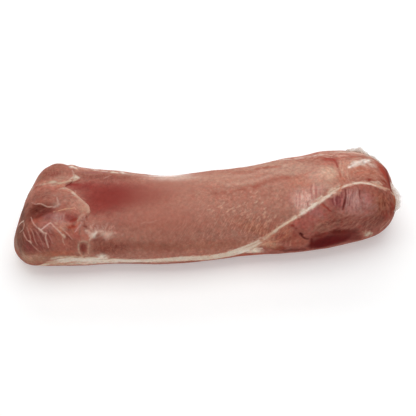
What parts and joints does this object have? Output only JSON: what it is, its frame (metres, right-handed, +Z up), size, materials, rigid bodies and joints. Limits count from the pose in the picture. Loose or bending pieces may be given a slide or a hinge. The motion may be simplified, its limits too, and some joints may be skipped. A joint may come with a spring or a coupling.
{
  "type": "raw pork loin",
  "caption": "Whole raw boneless pork loin lying on its fat side: long eye muscle, rump-end muscles, cupped seam fat and darker blade-end muscle.",
  "frame": {"origin": "on the table, under the middle of the loin", "axes": "+X from the rump end to the blade end, +Y away from the side that shows, +Z up"},
  "size_m": [0.4803, 0.1639, 0.0892],
  "materials": {
    "lean_meat": "moist raw meat, satin",
    "rump_meat": "moist raw meat, satin",
    "seam_fat": "waxy white fat, satin",
    "dark_meat": "moist dark raw meat, satin"
  },
  "bodies": {
    "root": {"eye_muscle": "lean_meat", "rump_muscle": "rump_meat", "fat_layer": "seam_fat", "blade_muscle": "dark_meat"}
  },
  "joints": []
}
